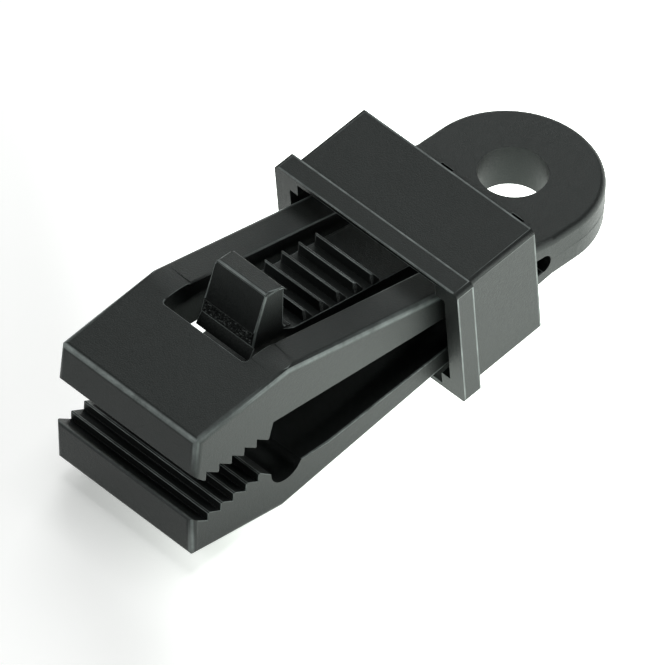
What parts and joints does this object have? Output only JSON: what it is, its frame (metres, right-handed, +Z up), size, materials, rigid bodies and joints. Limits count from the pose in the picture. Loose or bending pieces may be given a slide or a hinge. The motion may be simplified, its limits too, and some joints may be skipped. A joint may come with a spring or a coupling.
{
  "type": "tarp clip",
  "caption": "Moulded plastic tarp clip: sprung toothed jaws on a flat tail with an eye, shut by a rectangular collar that slides over a ribbed latch tongue.",
  "frame": {"origin": "centre of the eye in the tail, at the middle of the tail plate's thickness", "axes": "+X from the jaws to the eye, +Y across the clip, +Z up along the eye's bore on the side of the thumb button"},
  "size_m": [0.0889, 0.0356, 0.0323],
  "materials": {
    "body": "fine matte moulded grain, black",
    "collar": "fine matte moulded grain, black"
  },
  "bodies": {
    "tail": {"tail_eye": "body"},
    "upper": {"upper_jaw": "body"},
    "lower": {"lower_jaw": "body"},
    "tongue": {"latch_tongue": "body"},
    "collar": {"slide_collar": "collar"}
  },
  "joints": [
    {"name": "collar_slide", "type": "slide", "parent": "tail", "child": "collar", "axis": [-0.9905, 0, -0.1374], "range_m": [0, 0.0123]},
    {"name": "upper_jaw_flex", "type": "hinge", "parent": "tail", "child": "upper", "pos_m": [-0.014, 0, 0.00357], "axis": [0, -1, 0], "range_deg": [0, 6.65], "stiffness_Nm_per_rad": 1},
    {"name": "lower_jaw_flex", "type": "hinge", "parent": "tail", "child": "lower", "pos_m": [-0.014, 0, -0.00373], "axis": [0, 1, 0], "range_deg": [0, 1.2], "stiffness_Nm_per_rad": 1},
    {"name": "tongue_press", "type": "hinge", "parent": "upper", "child": "tongue", "pos_m": [-0.014, 0, 0.00357], "axis": [0, -1, 0], "range_deg": [0, 4], "stiffness_Nm_per_rad": 0.3}
  ],
  "couplings": [
    {"joint": "upper_jaw_flex", "follows": "collar_slide", "rad_per_m": 9.3},
    {"joint": "lower_jaw_flex", "follows": "collar_slide", "rad_per_m": 1.6}
  ]
}
